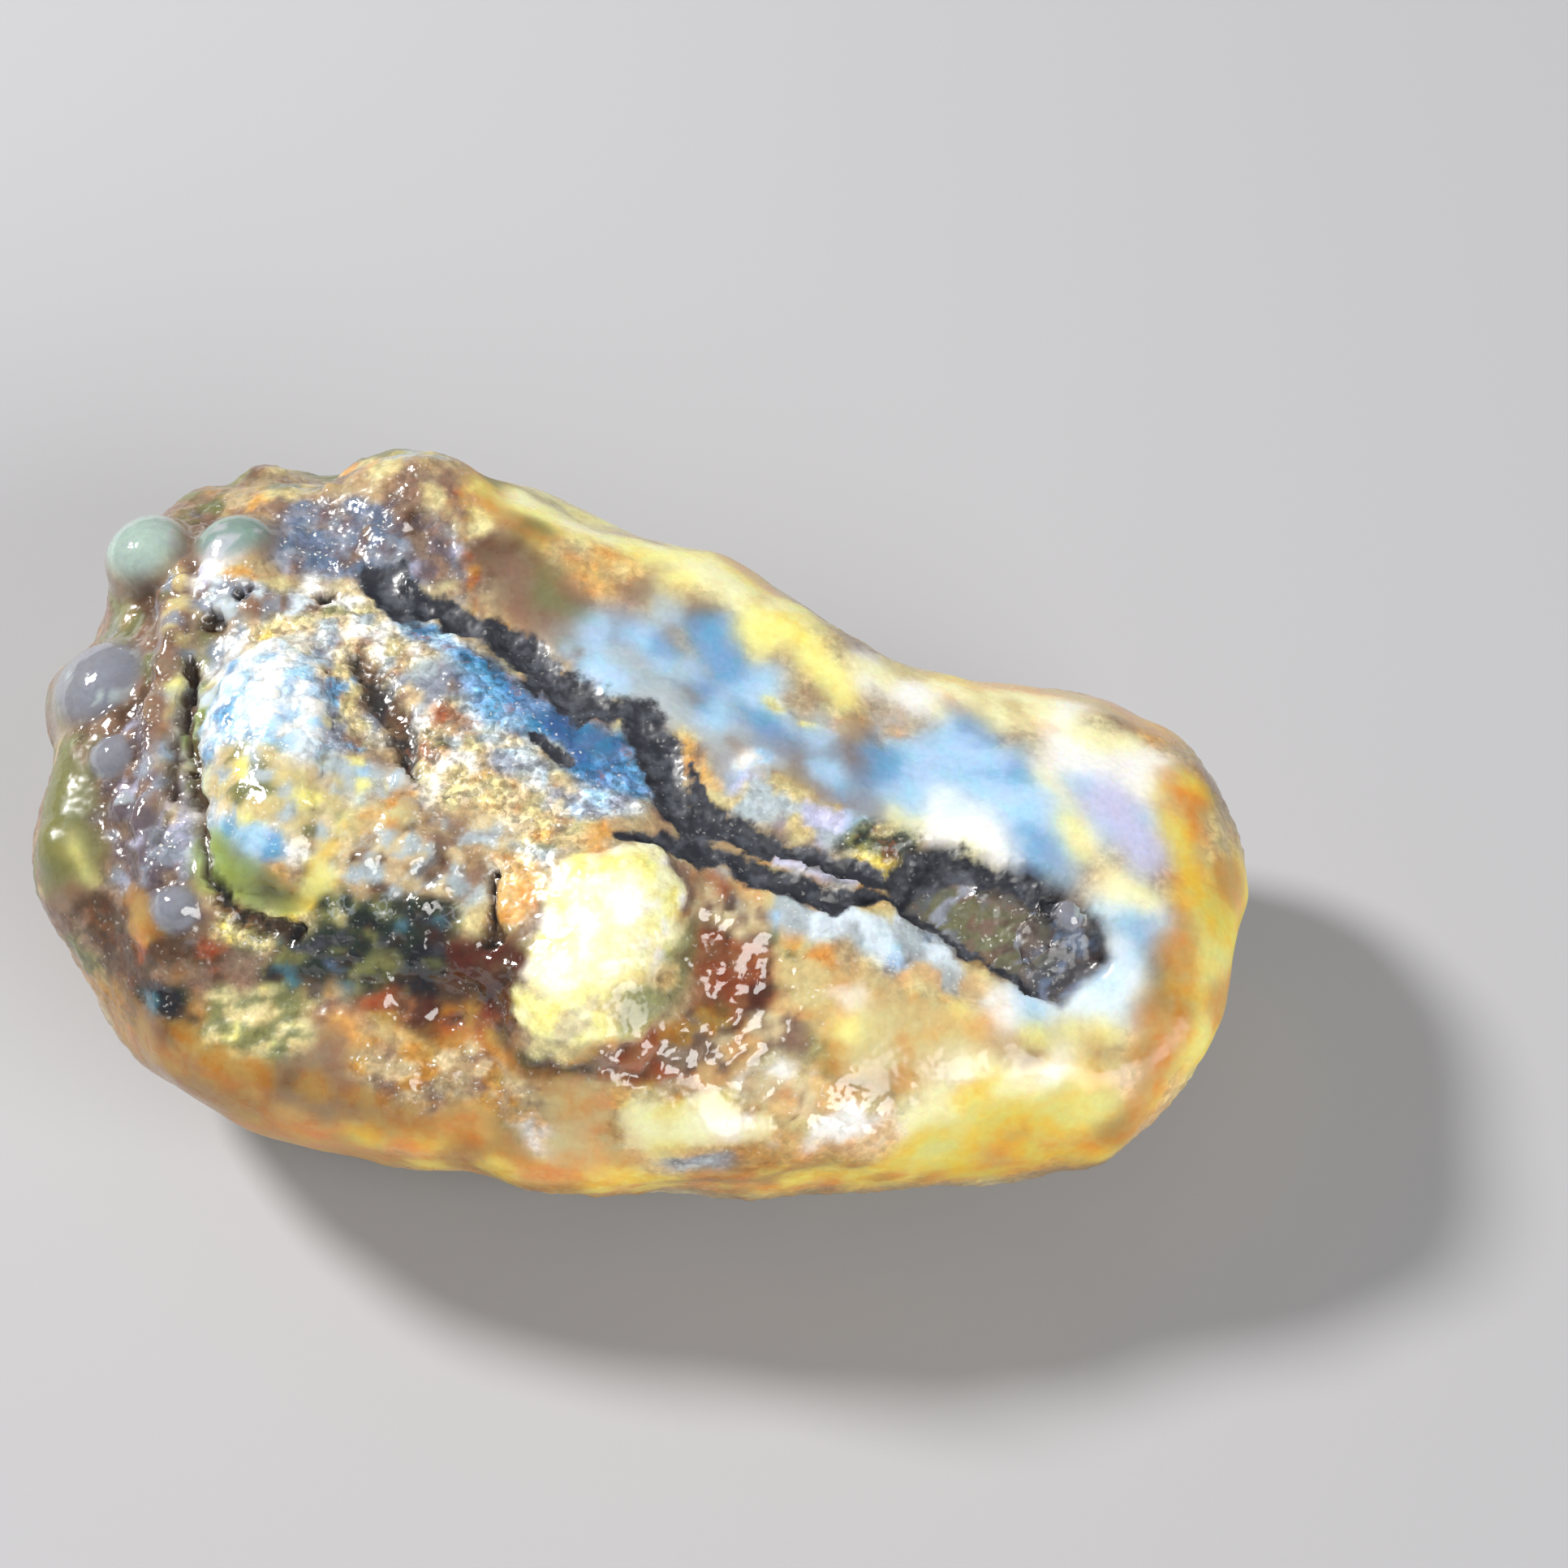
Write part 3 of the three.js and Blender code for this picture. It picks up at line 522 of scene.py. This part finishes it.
class Skin:
    """Finds (x, lean) places on a mesh."""

    def __init__(self, mesh):
        self.tree = BVHTree.FromPolygons(places(mesh).tolist(), [tuple(p.vertices) for p in mesh.polygons])

    def at(self, x, lean):
        """The point on the skin at a place."""
        y, z = axis_at(x)
        angle = math.radians(lean)
        return self.tree.ray_cast(Vector((x, y, z)), Vector((0, -math.sin(angle), math.cos(angle))))[0]

    def sunk(self, place, depth):
        """The point at a place that deep under the skin: with a negative depth it stands proud."""
        point = self.at(*place)
        near = self.tree.find_nearest_range(point, NORMAL_REACH)
        outward = sum((found[1] for found in near), Vector()).normalized()
        return point - outward * depth

    def ball(self, place, radius, proud):
        """The middle and radius of a ball that stands proud of the skin."""
        return self.sunk(place, radius - proud), radius

    def trail(self, path):
        """Points on the skin along a path, with the path's half-width at each where it gives one."""
        stops = [path[0]]
        for start, end in zip(path, path[1:]):
            length = math.hypot(end[0] - start[0], math.radians(end[1] - start[1]) * STONE_RADIUS)
            count = max(1, round(length / TRAIL_STEP))
            for k in range(1, count + 1):
                stops.append(tuple(a + (b - a) * k / count for a, b in zip(start, end)))
        found = [(self.at(stop[0], stop[1]), stop[2] if len(stop) > 2 else 1.0) for stop in stops]
        return [(*point, width) for point, width in found if point is not None]


def away_from(points, trail, reach=1.0):
    """Each point's distance to a trail over the trail's half-width there, or FAR outside a box round it."""
    trail = np.array(trail)
    stops, widths = trail[:, :3], trail[:, 3] * reach
    limit = widths.max() * 3
    found = np.full(len(points), FAR)
    near = np.flatnonzero(np.all((points > stops.min(0) - limit) & (points < stops.max(0) + limit), axis=1))
    p = points[near]
    best = np.linalg.norm(p - stops[0], axis=1) / widths[0]
    for a, b, wide_a, wide_b in zip(stops, stops[1:], widths, widths[1:]):
        leg = b - a
        t = np.clip((p - a) @ leg / max(leg @ leg, TINY), 0, 1)
        distance = np.linalg.norm(p - a - t[:, None] * leg, axis=1)
        best = np.minimum(best, distance / (wide_a + (wide_b - wide_a) * t))
    found[near] = best
    return found


def lumps(points, size, seed, by=1.0):
    """Smooth random values with lumps of the size in mm, from about -by to by."""
    return by * np.array([noise.noise(p) for p in (points / size + seed * SEED_STEP).tolist()])


def wobble(points, size, seed, by):
    """Smooth random steps with swirls of the size in mm, from about -by to by along each axis."""
    noise.seed_set(WOBBLE_SEED)
    where = (points / size + seed * SEED_STEP).tolist()
    return by * np.array([tuple(noise.noise_vector(p)) for p in where])


def cells_of(points, size, seed):
    """Cells of the size in mm: each point's way in from its cell's edge, and its cell's pick from 0 to 1."""
    found = [noise.voronoi(p) for p in (points / size + seed * SEED_STEP).tolist()]
    inward = np.array([distances[1] - distances[0] for distances, _ in found])
    middles = np.array([tuple(near[0]) for _, near in found])
    return inward, np.abs(np.sin(middles @ PICK_WAY) * PICK_SCALE) % 1.0


def strewn_beads(skin):
    """Small balls strewn over the beaded areas."""
    chance = random.Random(BEAD_SEED)
    balls = []
    for count, smallest, largest, reach, path in BEADS:
        (x0, lean0), (x1, lean1) = path
        for _ in range(count):
            t, radius = chance.random(), chance.uniform(smallest, largest)
            x = x0 + (x1 - x0) * t + chance.gauss(0, reach / 2)
            lean = lean0 + (lean1 - lean0) * t + math.degrees(chance.gauss(0, reach / 2) / STREWN_RADIUS)
            balls.append(skin.ball((x, lean), radius, radius * BEAD_PROUD))
    return balls


bare = rounded_solid()
bare_skin = Skin(bare)
knobs = [bare_skin.ball(place, radius, proud) for _, place, radius, proud in KNOBS]
lobes = [bare_skin.ball(place, radius, proud) for place, radius, proud in LOBES]
beads = strewn_beads(bare_skin)
mesh = fused_with_balls(bare, knobs + lobes + beads)
mesh.name = "stone"
skin = Skin(mesh)
rest = places(mesh)
along = rest[:, 0]
lean = lean_of(rest)

# Paths wander: the same wobble is used for the relief and the colour of a place
soft_wander = rest + wobble(rest, size=1.5, seed=1, by=0.42) + wobble(rest, size=0.5, seed=2, by=0.2)
fine_wander = rest + wobble(rest, size=0.7, seed=3, by=0.14) + wobble(rest, size=0.26, seed=4, by=0.12)
soft_edge = fine_wander + wobble(rest, size=1.2, seed=18, by=0.16)
ragged = [lumps(rest, size=0.9, seed=seed, by=0.3) + lumps(rest, size=0.35, seed=seed + 1, by=0.22)
          for seed in (14, 16)]


# ---- where the looks and the forms are ---------------------------------------

def on_ball(middle, radius):
    """1 on a ball grown into the skin, fading to 0 just off it."""
    return 1 - smoothstep(np.linalg.norm(rest - np.array(middle), axis=1) / radius, 1.02, 1.14)


def band(wander, path, inner, outer, reach=1.0, raggedness=0.0):
    """1 along a path, fading to 0 from the inner to the outer multiple of its half-width."""
    return 1 - smoothstep(away_from(wander, skin.trail(path), reach) + raggedness, inner, outer)


def cap(place, radius, proud):
    """1 over the middle of a knob's cap, fading to 0 at its rim."""
    rim = math.sqrt(radius ** 2 - (radius - proud) ** 2)
    return 1 - smoothstep(np.linalg.norm(rest - np.array(bare_skin.at(*place)), axis=1) / rim, 0.8, 1.25)


def dressed(finish, look, weight):
    """The finish with a look laid over it."""
    return finish + (np.array(LOOKS[look]) - finish) * weight[:, None]


glass = np.max([on_ball(*ball) for ball in knobs], axis=0)
bead = np.max([on_ball(*ball) for ball in beads], axis=0)
unglassed = 1 - glass
pit = band(soft_edge, PIT, 0.65, 1.1, raggedness=ragged[0] * 0.4)
cream_off = away_from(soft_wander, skin.trail(CREAM_KNOB)) + 0.35 * ragged[1]
cream = 1 - smoothstep(cream_off, 0.82, 1.0)

finish = np.tile(LOOKS["crust"], (len(rest), 1))
region_weights = []
for number, (_, look, _, _, reach, path) in enumerate(REGIONS):
    weight = band(soft_wander, path, 0.6, 1.15, reach, ragged[number % 2])
    finish = dressed(finish, look, weight)
    region_weights.append(weight)
for look, weight in (("sooty", pit), ("glassy", bead), ("knob", glass), ("creamy", cream)):
    finish = dressed(finish, look, weight)
rough, glow, clear, grain, glitter, wet, outlined = finish.T

char = np.zeros(len(rest))
groove = np.zeros(len(rest))
for path in CHARRED:
    off = away_from(soft_edge, skin.trail(path)) + 1.8 * ragged[0]
    depth = min(1.0, max(stop[2] for stop in path) / FULL_SEAM)
    char = np.maximum(char, 1 - smoothstep(off, 0.3, 1.8))
    groove = np.maximum(groove, (1 - smoothstep(off, 0.0, 1.6)) * depth)
crevice = np.max([band(fine_wander, path, 0.5, 1.5, raggedness=ragged[1]) for path in CREVICES], axis=0)
pit_floor = band(fine_wander, PIT_FLOOR, 0.2, 1.3, PIT_FLOOR_REACH, ragged[1])
sliver = band(fine_wander, PALE_SLIVER, 0.5, 1.3)
crease = np.maximum(band(fine_wander, CREASE, 0.4, 2.6), 0.6 * band(fine_wander, SECOND_CREASE, 0.4, 2.0))
column = band(soft_wander, COLUMN, 0.3, 1.3)
cream_dome = np.clip(1 - cream_off ** 2, 0, 1) ** 0.7
dome = np.sqrt(np.clip(1 - away_from(soft_wander, skin.trail(DOME)) ** 2, 0, 1))
cream_right = smoothstep(along, -1.8, 0.2)


# ---- relief ------------------------------------------------------------------

def raised(points, height):
    """The points of the skin moved outwards by the height in mm, less so at the stone's foot."""
    return points + normals_of(mesh) * (height * smoothstep(rest[:, 2], *FOOT))[:, None]


# Forms: rolling lumps, then what is sunk into the skin, then what stands out of it
height = lumps(rest, size=2.6, seed=5, by=0.13) + lumps(rest, size=1.1, seed=6, by=0.07) * unglassed
height += (COLUMN_RISE * column - CREASE_DEPTH * crease - SEAM_DEPTH * groove * (1 - pit)
           - CREVICE_DEPTH * crevice - PIT_DEPTH * pit * unglassed)
height += CREAM_RISE * cream_dome * (0.25 + 0.75 * cream_right) + DOME_RISE * dome + SLIVER_RISE * sliver
points = raised(rest, height)
move_to(mesh, points)

# Grain: rough crust, pebbles, grains, curls where it is wettest, and lumps in the char and the pit
crusty = np.clip(1.1 - glow, 0, 1) * (1 - 0.9 * glass)
pebbly = np.clip(0.7 * glitter + wet - 0.5, 0, 1)
curly = smoothstep(wet, 0.85, 1.0)
pebbles = smoothstep(cells_of(soft_wander, size=0.8, seed=30)[0], 0.0, 0.45) - 0.6
grains = smoothstep(cells_of(rest, size=0.36, seed=31)[0], 0.0, 0.5) - 0.5
curls = 0.5 - np.abs(lumps(soft_wander, size=0.52, seed=10)) * 2.2
height = lumps(rest, size=0.55, seed=7, by=0.05) * crusty + lumps(rest, size=0.28, seed=8, by=0.015) * crusty
height += pebbles * PEBBLE_RISE * pebbly * unglassed
height += grains * GRAIN_RISE * grain * unglassed
height += curls * CURL_RISE * curly * unglassed
height += lumps(rest, size=0.3, seed=11, by=0.02) * char + lumps(rest, size=0.7, seed=11, by=0.1) * pit
points = raised(points, height)
points[:, 2] = np.maximum(points[:, 2], 0.0)
move_to(mesh, points)

# Hollows: how far a point lies below its smoothed surroundings, in mm; the crust's colour takes painted
# shade from them
shaded_hollow = np.einsum("ij,ij->i", spread(points, mesh, 16) - points, normals_of(mesh))


# ---- the crust's colours -----------------------------------------------------

# Three layers of cells give patches their random colours
patches = [(size, cells_of(fine_wander, size, seed)[1])
           for size, seed in ((COARSE, 20), (MIDDLING, 21), (FINE, 22))]


def chosen(colours, picks):
    """Each point's colour: its pick, from 0 to 1, falls to one of the colours by their shares."""
    shares = np.cumsum(list(colours.values())) / sum(colours.values())
    table = np.array([linear(PALETTE[name]) for name in colours])
    return table[np.minimum(np.searchsorted(shares, picks), len(table) - 1)]


def painted(tint, *layers):
    """The tint with layers of patches over it, each its colours, its weight and about its cells' size."""
    for colours, weight, size in layers:
        _, picks = min(patches, key=lambda layer: abs(layer[0] - size))
        tint = tint + (chosen(colours, picks) - tint) * weight[:, None]
    return tint


around = np.abs(lean)
broad = smoothstep(lumps(rest, size=2.4, seed=12), 0.15, 0.5)
tint = painted(
    np.zeros((len(rest), 3)),
    (dict(tan=4, straw=3, clay=2, honey=1), np.ones(len(rest)), MIDDLING),
    (dict(copal=4, straw=2, peach=2, honey=2), smoothstep(lean, 68, 80), COARSE),
    (dict(tan=5, copal=1, sand=2, straw=3), smoothstep(around, 90, 110), COARSE),
    (dict(straw=4, tan=4, peach=1, clay=1), smoothstep(-lean, 55, 75), COARSE),
    (dict(umber=2, clay=2), broad * 0.25 * smoothstep(around, 80, 100), MIDDLING),
)
for (_, _, colours, size, _, _), weight in zip(REGIONS, region_weights):
    tint = painted(tint, (colours, weight, size))

# The cream knob is whitest in the middle, its own pale colour with a painted highlight, with an orange and
# brown left edge and an olive lower right side that is painted shade
tint = painted(
    tint,
    (dict(cream=5, lemon=4, white=2), cream, FINE),
    (dict(white=3, cream=2), cream * (1 - smoothstep(cream_off, 0.25, 0.7)), MIDDLING),
    (dict(lemon=4, cream=2, straw=1), cream * smoothstep(lean, 52, 59) * 0.8, FINE),
    (dict(olive=3, straw=3), band(fine_wander, CREAM_SHADE, 0.5, 1.4) * 0.8, MIDDLING),
    (dict(orange=2, honey=3), band(fine_wander, CREAM_EDGE, 0.5, 1.4) * 0.8, FINE),
    (dict(dark_rust=2, umber=2), band(fine_wander, CREAM_NOTCH, 0.5, 1.4), FINE),
)

# The right end, the right of the back, the glowing looks, the underside and the knobs are cloudier: their
# patches run together
cloudy = np.maximum(0.85 * smoothstep(along, 4, 9),
                    0.7 * smoothstep(-lean, 10, 35) * smoothstep(along, -4, -1.5))
cloudy = np.maximum(cloudy, 0.75 * np.maximum(smoothstep(glow, 0.55, 0.68), smoothstep(around, 72, 92)))
cloudy = np.maximum(cloudy * (1 - pit), glass)
crisp = spread(tint, mesh, 1)
tint = crisp + (spread(crisp, mesh, 16) - crisp) * cloudy[:, None]

# What keeps sharp edges comes after that: the pit, the sliver, the creases, the crevices and the knobs
tint = painted(
    tint,
    (dict(ash=5, char=1, moss=1, smoke=1), pit * 0.9, FINE),
    (dict(slate=2, plum=1, ash=4, char=2), pit * 0.9 * smoothstep(along, 7.6, 8.2), FINE),
    (dict(umber=1, olive=3, clay=2, smoke=2), pit_floor * pit * 0.55, FINE),
    (dict(lilac=3, smoke=2), sliver * 0.9, FINE),
    (dict(char=3, moss=2), crease * 0.75, FINE),
    (dict(char=6, umber=2), crevice * 0.95, FINE),
)
for colour, place, radius, proud in KNOBS:
    tint = painted(tint, ({colour: 7, "mist": 1}, cap(place, radius, proud) * 0.85, FINE))

# The material reads all of this from the mesh
colours = np.concatenate([tint, np.ones((len(tint), 1))], axis=1).astype(np.float32)
mesh.attributes.new("tint", "FLOAT_COLOR", "POINT").data.foreach_set("color", colours.ravel())
uncharred = 1 - char
kept = {
    "char": char * (1 - sliver),
    "rough": rough + (0.45 - rough) * char,
    "glow": glow * (1 - 0.7 * char),
    "clear": clear * uncharred,
    "grain": grain * (1 - 0.8 * char),
    "glitter": glitter * (1 - 0.75 * char),
    "wet": wet * (1 - 0.85 * char),
    "outlined": outlined * uncharred,
    "cloudy": cloudy,
    # painted shade in the hollows, weaker where patches are cloudy, in the pit and in the crevices
    "shaded_hollow": smoothstep(shaded_hollow, 0.005, 0.1) * (1 - 0.6 * cloudy) * (1 - 0.8 * np.maximum(pit, crevice)),
}
for name, values in kept.items():
    mesh.attributes.new(name, "FLOAT", "POINT").data.foreach_set("value", values.astype(np.float32))

move_to(mesh, points * MM)
mesh.polygons.foreach_set("use_smooth", np.ones(len(mesh.polygons), bool))


# ---- materials ---------------------------------------------------------------

class Nodes:
    """Short calls that add a node to a material and give back one of its outputs."""

    def __init__(self, name):
        self.material = bpy.data.materials.new(name)
        self.material.use_nodes = True
        self.tree = self.material.node_tree
        self.shader = self.tree.nodes["Principled BSDF"].inputs
        self.output = self.tree.nodes["Material Output"].inputs

    def put(self, socket, value):
        """Links a socket to a node's output, or sets it to a plain value."""
        if isinstance(value, bpy.types.NodeSocket):
            self.tree.links.new(value, socket)
        else:
            socket.default_value = value

    def node(self, kind, inputs=None, output=0, **settings):
        made = self.tree.nodes.new(kind)
        for name, value in settings.items():
            setattr(made, name, value)
        for name, value in (inputs or {}).items():
            self.put(made.inputs[name], value)
        return made.outputs[output]

    def attribute(self, name, output="Fac"):
        return self.node("ShaderNodeAttribute", output=output, attribute_name=name)

    def noise(self, size, detail=2.0, roughness=0.55):
        """Cloudy noise with lumps of the size in mm, about 0.3 to 0.7."""
        return self.node("ShaderNodeTexNoise", {
            "Vector": self.where, "Scale": 1 / (size * MM), "Detail": detail, "Roughness": roughness})

    def grains(self, size, output="Distance", bent=0.0):
        """Grains of the size in mm, with their edges bent by a share of it."""
        where, scale = self.where, 1 / (size * MM)
        if bent:
            swirl = self.node("ShaderNodeTexNoise", {"Vector": where, "Scale": scale}, output="Color")
            step = self.node("ShaderNodeVectorMath", {0: swirl, 1: (0.5,) * 3}, operation="SUBTRACT")
            where = self.node("ShaderNodeVectorMath", {0: step, 1: (2 * bent * size * MM,) * 3, 2: where},
                              operation="MULTIPLY_ADD")
        return self.node("ShaderNodeTexVoronoi", {"Vector": where, "Scale": scale}, output=output)

    def ramp(self, value, low, high, to_low=0.0, to_high=1.0):
        """The value's smooth rise from low to high, as one from to_low to to_high."""
        return self.node("ShaderNodeMapRange", {
            "Value": value, "From Min": low, "From Max": high, "To Min": to_low, "To Max": to_high},
            interpolation_type="SMOOTHSTEP")

    def math(self, how, *values):
        return self.node("ShaderNodeMath", dict(enumerate(values)), operation=how)

    def product(self, *values):
        return reduce(lambda a, b: self.math("MULTIPLY", a, b), values)

    def most(self, *values):
        return reduce(lambda a, b: self.math("MAXIMUM", a, b), values)

    def mix(self, share, a, b):
        """Colour a with a share of colour b."""
        made = self.tree.nodes.new("ShaderNodeMix")
        made.data_type = "RGBA"
        self.put(made.inputs["Factor"], share)
        self.put(made.inputs[6], a)
        self.put(made.inputs[7], b)
        return made.outputs[2]

    def channel(self, colour, name):
        return self.node("ShaderNodeSeparateColor", {"Color": colour}, output=name)


def solid(name):
    """A colour of the palette for a shader."""
    return (*linear(PALETTE[name]), 1.0)


def crust_colour(nodes, clouds, fine):
    """The painted tint, mottled, with grains, rust, pale outlines, painted shade in hollows, char and
    painted glints over it.
    """
    char, grain, glitter, wet = (nodes.attribute(name) for name in ("char", "grain", "glitter", "wet"))
    shaded_hollow, outlined, cloudy = (nodes.attribute(name) for name in ("shaded_hollow", "outlined", "cloudy"))

    contrast = nodes.ramp(grain, 0, 1, 0.04, 0.34)
    mottle = nodes.math("MULTIPLY_ADD", nodes.ramp(fine, 0.3, 0.7, -1, 1), contrast, 1.0)
    colour = nodes.node("ShaderNodeHueSaturation", {
        "Color": nodes.attribute("tint", "Color"),
        "Hue": nodes.ramp(clouds, 0.3, 0.7, 0.488, 0.512),
        "Saturation": nodes.ramp(clouds, 0.3, 0.7, 1.0, 0.86),
        "Value": mottle})
    colour = nodes.node("ShaderNodeGamma", {"Color": colour, "Gamma": 1.15})

    shade = nodes.ramp(nodes.channel(nodes.grains(GRIT_SIZE, "Color"), "Red"), 0, 1, 0.55, 1.5)
    grainy = nodes.node("ShaderNodeHueSaturation", {"Color": colour, "Value": shade})
    colour = nodes.mix(nodes.product(grain, 0.6), colour, grainy)
    rusty = nodes.ramp(nodes.noise(size=0.42, detail=4, roughness=0.65), 0.58, 0.64)
    colour = nodes.mix(nodes.product(rusty, grain, 0.35), colour, solid("rust"))

    off_ring = nodes.math("ABSOLUTE", nodes.math("SUBTRACT", nodes.grains(RING_SIZE, bent=0.7), 0.38))
    rings = nodes.product(nodes.ramp(off_ring, 0.13, 0.03), outlined, nodes.ramp(clouds, 0.42, 0.56), 0.18)
    colour = nodes.mix(rings, colour, solid("ice"))
    # painted shade: umber laid into the hollows
    colour = nodes.mix(nodes.product(shaded_hollow, 0.7), colour, solid("umber"))

    ashen = nodes.ramp(nodes.noise(size=0.35, detail=3), 0.42, 0.68)
    charred = nodes.ramp(nodes.math("ADD", char, nodes.ramp(fine, 0.25, 0.75, -0.15, 0.15)), 0.2, 0.7)
    colour = nodes.mix(charred, colour, nodes.mix(ashen, solid("char"), solid("ash")))

    # painted glints: small white spots on glittering, wet and charred crust, standing in for highlights
    spot = nodes.ramp(nodes.grains(GLINT_SIZE, bent=0.9), 0.4, 0.15)
    chosen_grain = nodes.ramp(nodes.channel(nodes.grains(GLINT_SIZE, "Color"), "Green"), 0.66, 0.76)
    glint_share = nodes.most(glitter, nodes.product(wet, 0.2), nodes.product(char, 0.2))
    glint_patches = nodes.ramp(nodes.noise(size=0.7, detail=2), 0.4, 0.58, 0.1, 1.0)
    painted_glints = nodes.product(spot, chosen_grain, glint_share, nodes.ramp(cloudy, 0, 1, 1, 0.15), glint_patches)
    return nodes.mix(painted_glints, colour, solid("white"))


def amber_material():
    nodes = Nodes("amber crust")
    nodes.where = nodes.node("ShaderNodeTexCoord", output="Object")
    shader = nodes.shader
    grain, glitter, wet, cloudy = (nodes.attribute(name) for name in ("grain", "glitter", "wet", "cloudy"))
    clouds = nodes.noise(size=0.5, detail=2)
    fine = nodes.noise(size=0.16, detail=4, roughness=0.65)
    nodes.put(shader["Base Color"], crust_colour(nodes, clouds, fine))
    nodes.put(shader["Roughness"], nodes.product(
        nodes.attribute("rough"), nodes.ramp(clouds, 0.3, 0.7, 0.75, 1.3)))

    # Rolling lumps under the wet coat, and grit on them
    rolling = nodes.node("ShaderNodeBump", {
        "Height": nodes.noise(size=0.34, detail=1), "Strength": nodes.ramp(cloudy, 0, 1, 0.65, 0.2),
        "Distance": ROLLING_HEIGHT * MM})
    gritty = nodes.node("ShaderNodeBump", {
        "Height": nodes.grains(GRIT_SIZE), "Strength": nodes.product(nodes.most(glitter, grain), 0.5),
        "Distance": -GRIT_DEPTH * MM, "Normal": rolling})
    nodes.put(shader["Normal"], gritty)
    nodes.put(shader["Coat Normal"], rolling)
    nodes.put(shader["Coat Weight"], nodes.most(wet, nodes.product(glitter, 0.8)))
    shader["Coat Roughness"].default_value = COAT_ROUGHNESS

    # Light passes into the clear amber, and spreads under the glowing skin
    clearness = nodes.product(nodes.attribute("clear"), nodes.ramp(clouds, 0.35, 0.65, 0.6, 1.2))
    nodes.put(shader["Transmission Weight"], clearness)
    shader["IOR"].default_value = AMBER_IOR
    nodes.put(shader["Subsurface Weight"], nodes.attribute("glow"))
    shader["Subsurface Radius"].default_value = GLOW_RADIUS
    shader["Subsurface Scale"].default_value = GLOW_DEPTH * MM
    absorb = nodes.node("ShaderNodeVolumeAbsorption", {"Color": BODY_COLOUR, "Density": BODY_DENSITY})
    nodes.put(nodes.output["Volume"], absorb)
    return nodes.material


def plain_material(name, colour, roughness, gloss=0.5):
    """A material that is the same all over."""
    nodes = Nodes(name)
    nodes.shader["Base Color"].default_value = colour
    nodes.shader["Roughness"].default_value = roughness
    nodes.shader["Specular IOR Level"].default_value = gloss
    return nodes.material


# ---- pieces ------------------------------------------------------------------

def inclusions():
    """Dark flakes sealed in the clear amber, just under its skin."""
    chance = random.Random(INCLUSION_SEED)
    flakes = bmesh.new()
    for _ in range(INCLUSION_COUNT):
        (x0, lean0), (x1, lean1) = chance.choice(INCLUSION_ZONES)
        place = chance.uniform(x0, x1), chance.uniform(lean0, lean1)
        middle = Matrix.Translation(skin.sunk(place, chance.uniform(*INCLUSION_DEPTH)))
        size = chance.uniform(*INCLUSION_SIZE)
        angle = chance.uniform(0, math.pi)
        turned = Matrix.Rotation(angle, 4, Vector([chance.gauss(0, 1) for _ in range(3)]))
        flat = Matrix.Diagonal((size, size * chance.uniform(0.4, 0.9), size * 0.25, 1))
        bmesh.ops.create_icosphere(flakes, subdivisions=2, radius=1, matrix=middle @ turned @ flat)
    bmesh.ops.scale(flakes, vec=(MM,) * 3, verts=flakes.verts)
    made = bpy.data.meshes.new("inclusions")
    flakes.to_mesh(made)
    flakes.free()
    made.materials.append(plain_material("inclusion", solid("umber"), INCLUSION_ROUGHNESS))
    return made


def add_piece(made):
    thing = added(made.name, made)
    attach(thing, "root")
    return thing


mesh.materials.clear()
mesh.materials.append(amber_material())
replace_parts(add_piece(mesh), "amber")
add_piece(inclusions())


# ---- floor, light and camera -------------------------------------------------

low, high = CAD_BOX
centre = (Vector(low) + Vector(high)) / 2


def make_floor():
    half = FLOOR_SIDE / 2
    corners = [(-half, -half, 0), (half, -half, 0), (half, half, 0), (-half, half, 0)]
    floor = bpy.data.meshes.new("floor")
    floor.from_pydata(corners, [], [(0, 1, 2, 3)])
    floor.materials.append(plain_material("floor", FLOOR_COLOUR, FLOOR_ROUGHNESS, FLOOR_GLOSS))
    thing = added("floor", floor)
    thing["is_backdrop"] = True


def make_light(name, way, distance, size, power):
    """A soft round light, its distance and size in mm and its power in W."""
    lamp = bpy.data.lights.new(name, "AREA")
    lamp.shape = "DISK"
    lamp.size = size * MM
    lamp.energy = power
    lamp.color = LIGHT_COLOUR
    thing = added(name, lamp)
    way = Vector(way).normalized()
    thing.location = centre + way * distance * MM
    thing.rotation_euler = way.to_track_quat("Z", "Y").to_euler()


def make_sky():
    world = bpy.data.worlds.new("studio")
    world.use_nodes = True
    background = world.node_tree.nodes["Background"].inputs
    background["Color"].default_value = SKY_COLOUR
    background["Strength"].default_value = SKY_STRENGTH
    bpy.context.scene.world = world


def make_camera():
    camera = added("camera", bpy.data.cameras.new("camera"))
    camera.data.lens = LENS
    camera.data.sensor_width = SENSOR
    camera.data.clip_start = 1 * MM
    back = Vector((0, -math.cos(VIEW_ELEVATION), math.sin(VIEW_ELEVATION)))
    camera.location = centre + Vector(VIEW_OFFSET) * MM + back * VIEW_DISTANCE
    camera.rotation_euler = back.to_track_quat("Z", "Y").to_euler()
    bpy.context.scene.camera = camera


make_floor()
make_light("key", KEY_WAY, distance=220, size=45, power=0.62)
make_light("fill", FILL_WAY, distance=280, size=220, power=0.72)
make_sky()
make_camera()
bpy.context.scene.view_settings.view_transform = "Standard"

bpy.context.view_layer.update()
size = {"cad": [list(corner) for corner in CAD_BOX], "visual": [list(corner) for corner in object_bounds()]}
